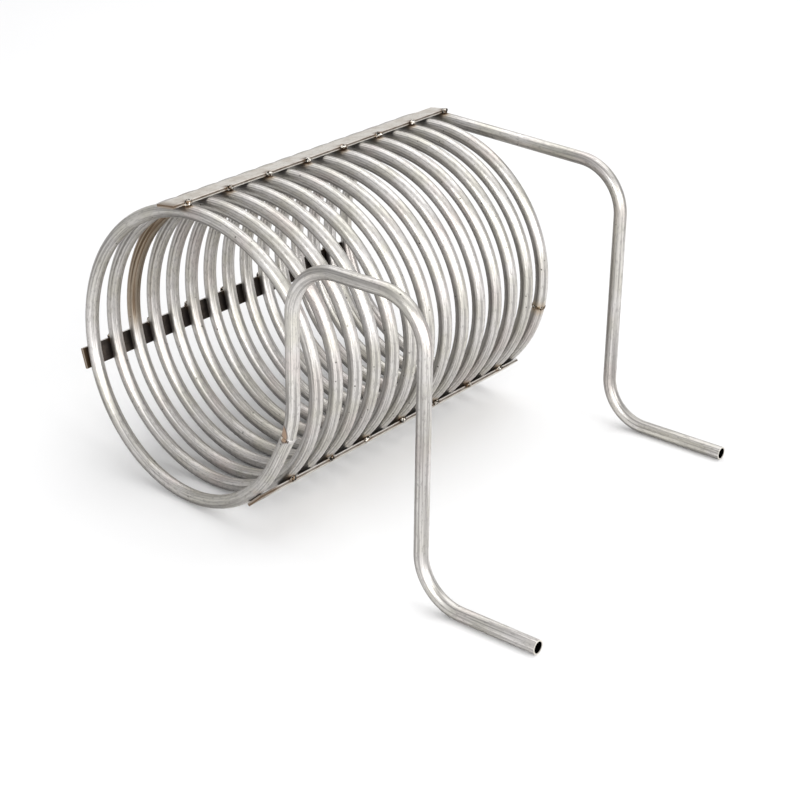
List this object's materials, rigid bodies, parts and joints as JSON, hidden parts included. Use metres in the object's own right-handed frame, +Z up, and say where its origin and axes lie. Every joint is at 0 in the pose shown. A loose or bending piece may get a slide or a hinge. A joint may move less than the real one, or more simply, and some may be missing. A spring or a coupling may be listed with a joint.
{
  "type": "immersion wort chiller",
  "caption": "Coil of thin-walled steel tube lying on its side, held by welded flat straps, with bent leads over one side down to open feet.",
  "frame": {"origin": "middle of the bounding box's footprint, on the floor that the coil and both feet rest on", "axes": "+X from the coil towards the open ends of the leads, +Y along the coil's axis from the front lead to the rear lead, +Z up"},
  "size_m": [0.5366, 0.408, 0.2806],
  "materials": {
    "tube": "satin pickled stainless tube with faint draw lines",
    "flat_bar": "mill finish stainless flat bar",
    "weld_metal": "weld metal with straw and brown heat tint"
  },
  "bodies": {
    "root": {"bottom_strap": "flat_bar", "bottom_tack_1": "weld_metal", "bottom_tack_2": "weld_metal", "bottom_tack_3": "weld_metal", "bottom_tack_4": "weld_metal", "bottom_tack_5": "weld_metal", "bottom_tack_6": "weld_metal", "bottom_tack_7": "weld_metal", "coil_tube": "tube", "front_butt_weld": "weld_metal", "front_lead": "tube", "rear_butt_weld": "weld_metal", "rear_lead": "tube", "side_strap": "flat_bar", "side_tack_1": "weld_metal", "side_tack_2": "weld_metal", "side_tack_3": "weld_metal", "side_tack_4": "weld_metal", "side_tack_5": "weld_metal", "side_tack_6": "weld_metal", "side_tack_7": "weld_metal", "top_strap": "flat_bar", "top_tack_1": "weld_metal", "top_tack_2": "weld_metal", "top_tack_3": "weld_metal", "top_tack_4": "weld_metal", "top_tack_5": "weld_metal", "top_tack_6": "weld_metal", "top_tack_7": "weld_metal", "top_tack_8": "weld_metal"}
  },
  "joints": []
}
